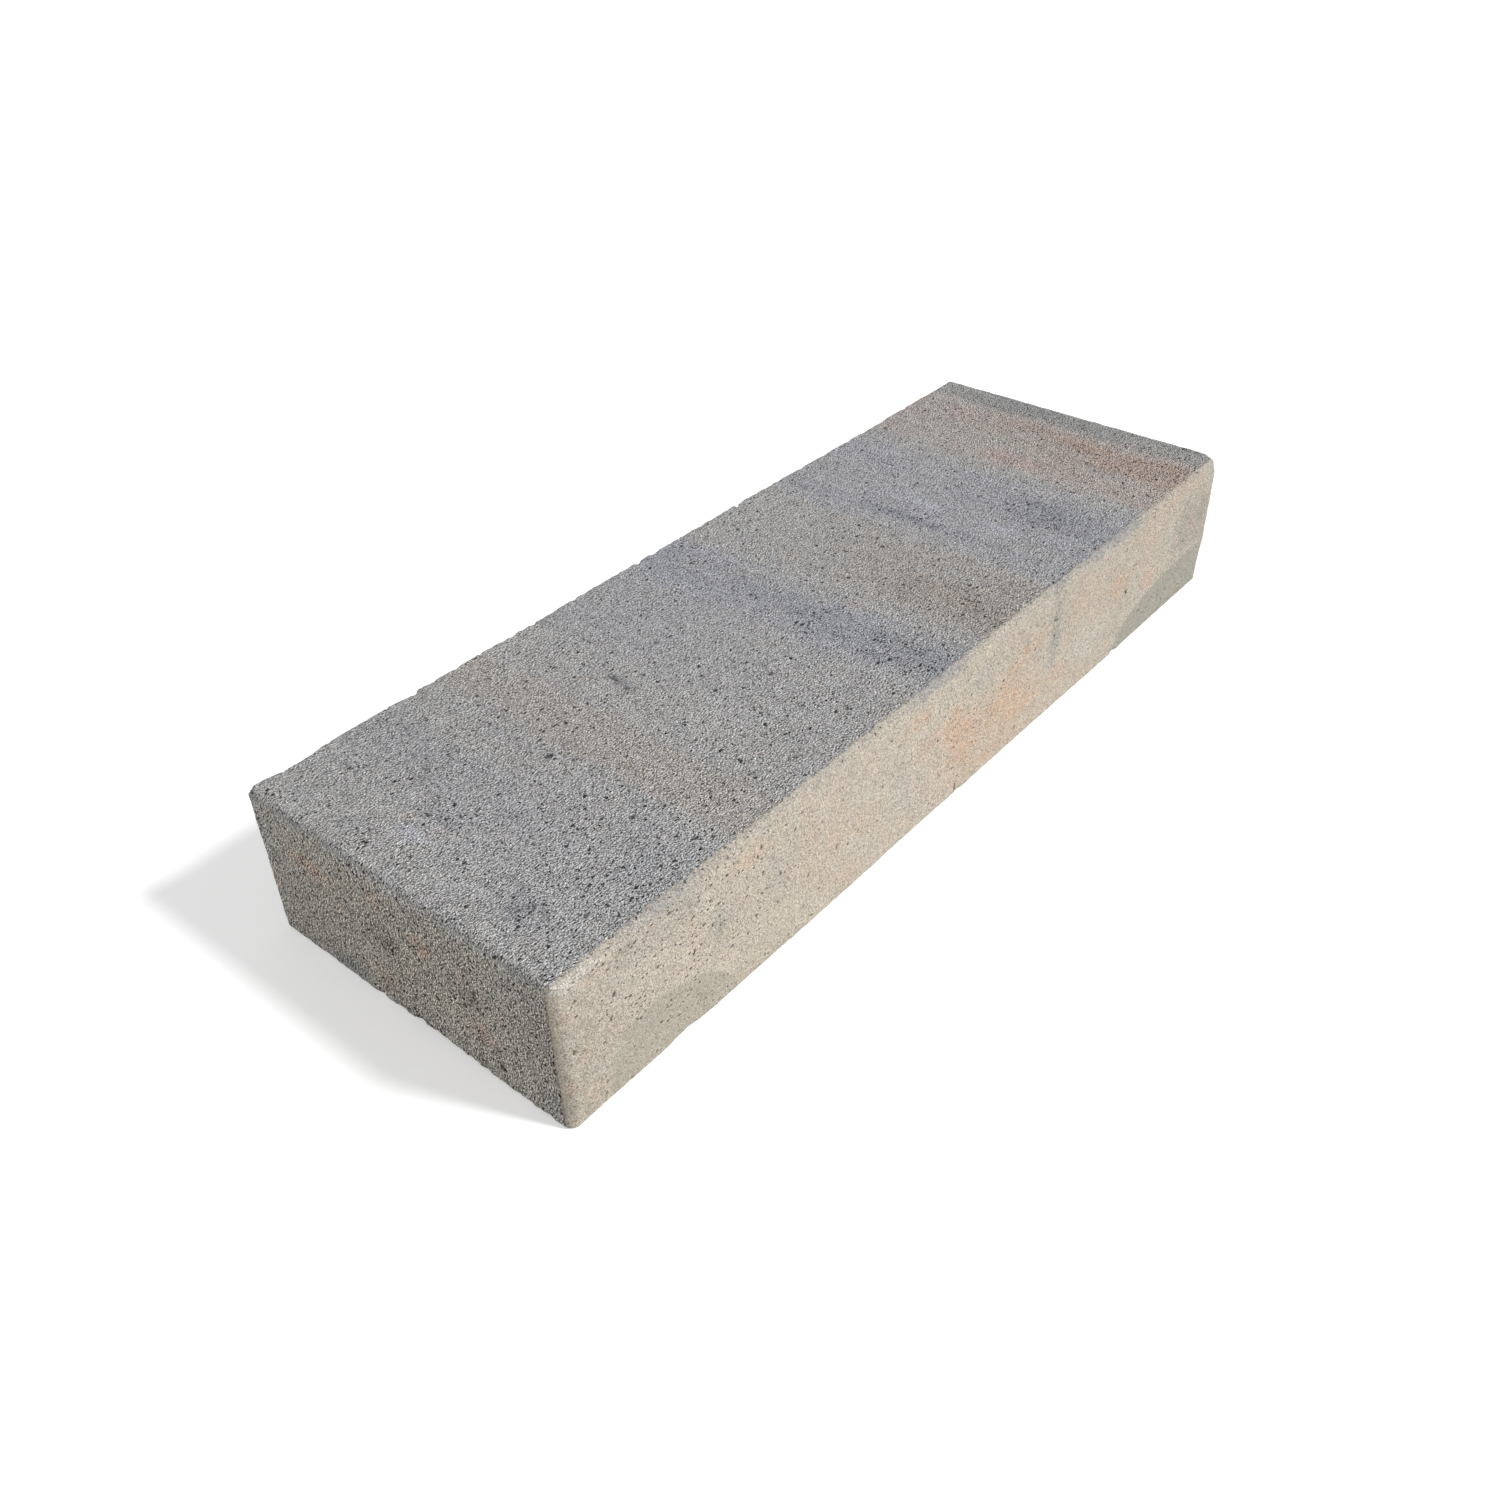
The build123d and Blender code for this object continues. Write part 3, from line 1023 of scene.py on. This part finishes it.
def sandGrains(tree, on):
    # each cell is a grain with its own shade and hue, dark in the gap round it
    fuzz = noise(tree, on["place"], grain["fuzz"], 1.0, 0.5, "Color")
    fuzz = vectorMaths(tree, "SUBTRACT", fuzz, (0.5, 0.5, 0.5))
    fuzz = vectorMaths(tree, "MULTIPLY", fuzz, (grain["fuzz"], grain["fuzz"], grain["fuzz"]))
    on["sand"] = vectorMaths(tree, "ADD", on["place"], fuzz)
    rough = maths(tree, "MAXIMUM", on["isBack"], on["isEnd"])
    on["coarse"] = times(tree, rough, minus(tree, 1.0, on["isTread"]))
    shades, gaps = [], []
    for width in (grain["sand"], grain["coarseSand"]):
        shades.append(addNode(tree, "ShaderNodeSeparateColor", {0: cells(tree, on["sand"], width, "Color")}))
        gaps.append(cells(tree, on["sand"], width))
    green = shades[0].node.outputs[1]
    on["hue"] = times(tree, minus(tree, green, 0.5), grain["tint"])
    on["shade"] = ramp(tree, ramp(tree, on["coarse"], 0.0, 1.0, *shades), 0.1, 0.9)
    on["gaps"] = ramp(tree, on["coarse"], 0.0, 1.0, *gaps)
    on["clump"] = noise(tree, on["place"], grain["clump"], 4.0, 0.65)


def grainLight(tree, on):
    # how light each point is against the colour of its face, with the crumbs' painted highlight and shade
    place = on["place"]
    # the crumbs' painted highlight in front and painted shade behind
    fine, coarse = (paintedCrumbs(tree, place, grain[name]) for name in ("fineCrumbs", "coarseCrumbs"))
    paintedLightAndShade = ramp(tree, on["coarse"], 0.0, 1.0, fine, coarse)
    paintedLightAndShade = ramp(tree, on["isTread"], 0.0, 1.0, paintedLightAndShade, paintedCrumbs(tree, place, grain["paintedCrumbs"], 0.65))
    paintedLightAndShade = times(tree, paintedLightAndShade, perFace(tree, on, "paintedLightAndShade"))
    light = times(tree, minus(tree, on["shade"], 0.5), perFace(tree, on, "shade"))
    light = darkened(tree, plus(tree, light, paintedLightAndShade), on["isFacet"], grain["facetCalm"])
    light = times(tree, plus(tree, 1.0, light), perFace(tree, on, "lift"))
    light = darkened(tree, light, perFace(tree, on, "gaps"), ramp(tree, on["gaps"], 0.35, 0.85))
    return times(tree, light, ramp(tree, on["clump"], 0.3, 0.7, 0.95, 1.05))


def crowded(tree, on):
    # where the holes gather
    crowd = times(tree, minus(tree, on["clump"], 0.5), grain["pitCrowd"])
    crowd = plus(tree, crowd, perFace(tree, on, "holed"))
    offTread = minus(tree, 1.0, on["isTread"])
    for name, face in (("tread", on["isTread"]), ("riser", offTread), ("end", on["isEnd"])):
        crowd = plus(tree, crowd, times(tree, crowding(tree, on[name], pitted[name]), face))
    return crowd


def holes(tree, on, crowd, spacing, width, move):
    inputs = {"Vector": on["sand"], "Location": (move, move, move), "Scale": (0.62, 1, 1)}
    spot = addNode(tree, "ShaderNodeMapping", inputs)
    size = addNode(tree, "ShaderNodeSeparateColor", {0: cells(tree, spot, spacing, "Color")})
    size = ramp(tree, plus(tree, size, crowd), 0.20, 1.10, 0.0, width)
    return ramp(tree, minus(tree, size, cells(tree, spot, spacing)), 0.0, 0.06)


def stoneMaterial():
    material = bpy.data.materials.new("castStone")
    material.use_nodes = True
    tree = material.node_tree
    tree.nodes.clear()
    on = facePlaces(tree, addNode(tree, "ShaderNodeTexCoord", output="Object"))
    faceMasks(tree, on)
    colour = mixColours(tree, on["isBack"], riserPaint(tree, on), hiddenPaint(tree, on, "back"))
    colour = mixColours(tree, on["isEnd"], colour, endPaint(tree, on))
    colour = mixColours(tree, on["isTread"], colour, treadPaint(tree, on))

    sandGrains(tree, on)
    light = grainLight(tree, on)
    crowd = crowded(tree, on)
    pit = holes(tree, on, crowd, grain["pitSpacing"], grain["pitWidth"], 0)
    pock = holes(tree, on, crowd, grain["pockSpacing"], grain["pockWidth"], 3)
    light = darkened(tree, light, pit, perFace(tree, on, "pits"))
    light = darkened(tree, light, pock, perFace(tree, on, "pocks"))
    pressed = addNode(tree, "ShaderNodeAttribute", output="Fac", attribute_name="pore")
    light = times(tree, light, ramp(tree, pressed, 0.0002, 0.0011, 1.0, 0.34))
    warmer, cooler = (times(tree, light, maths(tree, way, 1.0, on["hue"])) for way in ("ADD", "SUBTRACT"))
    grained = addNode(tree, "ShaderNodeCombineColor", {0: warmer, 1: light, 2: cooler})
    colour = mixColours(tree, 1.0, colour, grained, "MULTIPLY")

    # the same grains and pits as fine relief
    deep = times(tree, plus(tree, pit, pock), 1.5)
    height = times(tree, plus(tree, on["gaps"], deep), -grain["grainHeight"])
    for blobs in (noise(tree, on["place"], grain["lumps"], 3.0, 0.6), on["clump"]):
        height = plus(tree, height, times(tree, blobs, grain["lumpHeight"]))
    height = times(tree, height, perFace(tree, on, "bump"))
    bump = addNode(tree, "ShaderNodeBump", {"Height": height, "Strength": 1.0, "Distance": 1.0})

    surface = tree.nodes.new("ShaderNodeBsdfPrincipled")
    surface.inputs["Specular IOR Level"].default_value = 0.25
    tree.links.new(colour, surface.inputs["Base Color"])
    tree.links.new(ramp(tree, on["shade"], 0.0, 1.0, 0.95, 0.80), surface.inputs["Roughness"])
    tree.links.new(bump, surface.inputs["Normal"])
    addNode(tree, "ShaderNodeOutputMaterial", {"Surface": surface.outputs[0]}, output=slice(0))
    return material


castStone = stoneMaterial()
print("stone coloured")

weather = stoneBlock.modifiers.new("stoneRelief", "NODES")
weather.node_group = reliefTree(relief, castStone)
for socket in weather.node_group.interface.items_tree:
    if socket.name in relief:
        weather[socket.identifier] = relief[socket.name]
makePlain(stoneBlock)
if not stoneBlock.data.materials:
    stoneBlock.data.materials.append(castStone)
stoneBlock.data.shade_smooth()
print("relief done,", sum(len(p.vertices) - 2 for p in stoneBlock.data.polygons), "triangles")

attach(stoneBlock, "root")
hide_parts("step_block")

bpy.context.scene.view_settings.view_transform = "Standard"
